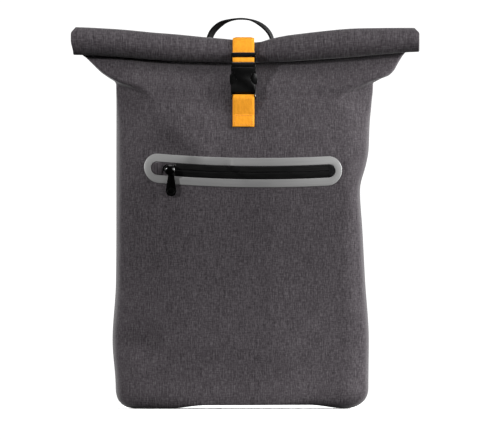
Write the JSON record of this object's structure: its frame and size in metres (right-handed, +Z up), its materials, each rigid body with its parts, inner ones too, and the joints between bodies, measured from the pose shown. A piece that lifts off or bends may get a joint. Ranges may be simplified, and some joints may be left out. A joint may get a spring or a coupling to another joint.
{
  "type": "roll-top waterproof backpack",
  "caption": "Grey cloth roll-top backpack that stands with its mouth rolled shut, with an orange closure strap, a black buckle, a zipped front pocket and shoulder straps.",
  "frame": {"origin": "on the floor under the middle of the base, midway between the front and back walls", "axes": "+Z up, -Y out of the front with the zip pocket, +X to the right as seen from the front"},
  "size_m": [0.4, 0.1881, 0.451],
  "materials": {
    "cloth_grey": "matt heather weave",
    "band_silver": "satin reflective tape",
    "tape_black": "coated, satin",
    "metal_black": "gloss",
    "plastic_black": "satin",
    "webbing_orange": "woven webbing",
    "webbing_black": "woven webbing",
    "pad_black": "padded mesh cloth"
  },
  "bodies": {
    "backpack": {"body_shell": "cloth_grey", "zip_frame": "band_silver", "zip_tape_upper": "tape_black", "zip_tape_lower": "tape_black", "zip_garage": "cloth_grey", "zip_slider": "metal_black", "buckle_socket": "plastic_black", "buckle_prong": "plastic_black", "closure_strap_upper": "webbing_orange", "closure_strap_lower": "webbing_orange", "grab_handle": "webbing_black", "shoulder_pad_left": "pad_black", "shoulder_pad_right": "pad_black", "strap_adjuster_left": "plastic_black", "strap_adjuster_right": "plastic_black", "strap_webbing_left": "webbing_black", "strap_webbing_right": "webbing_black"},
    "puller": {"zip_puller": "plastic_black"}
  },
  "joints": [
    {"name": "puller_swing", "type": "hinge", "parent": "backpack", "child": "puller", "pos_m": [-0.08324, -0.06945, 0.27648], "axis": [-0.0923, -0.9957, 0], "range_deg": [-35, 90]}
  ]
}
